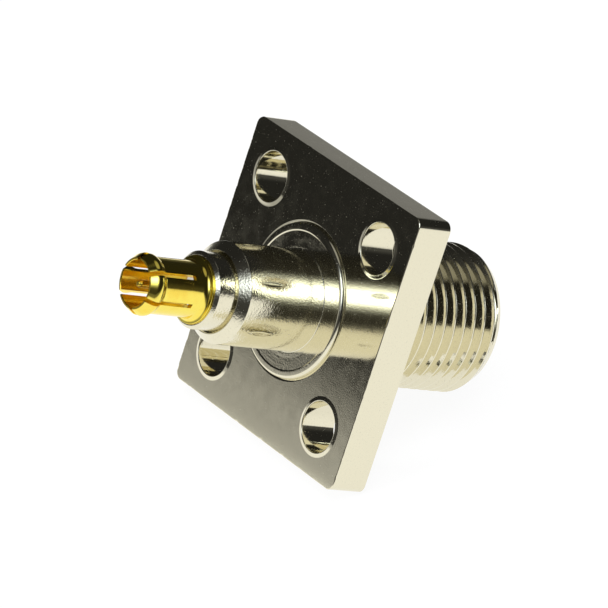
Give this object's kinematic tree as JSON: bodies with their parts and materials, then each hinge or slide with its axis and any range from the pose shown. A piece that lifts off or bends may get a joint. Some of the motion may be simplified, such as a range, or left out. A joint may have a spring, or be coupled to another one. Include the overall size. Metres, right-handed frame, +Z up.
{
  "type": "coaxial adapter",
  "caption": "Flange-mount coaxial adapter: a threaded jack on one side of a square plate and a snap-in plug with slotted spring fingers on the other.",
  "frame": {"origin": "centre of the square plate's plug-side face, on the connector's axis", "axes": "+X along the connector's axis towards the threaded jack, the plug towards -X; the plate's edges run along Y and Z, +Z up"},
  "size_m": [0.0254, 0.018, 0.018],
  "materials": {
    "nickel_plate": "bright nickel plate over turned brass",
    "gold_plate": "gold plate over a copper alloy",
    "white_insulator": "smooth white fluoropolymer"
  },
  "bodies": {
    "root": {"flange_plate": "nickel_plate", "body": "nickel_plate", "plug_sleeve": "nickel_plate", "outer_contact": "gold_plate", "plug_insulator": "white_insulator", "centre_contact": "gold_plate", "jack_insulator": "white_insulator"}
  },
  "joints": []
}
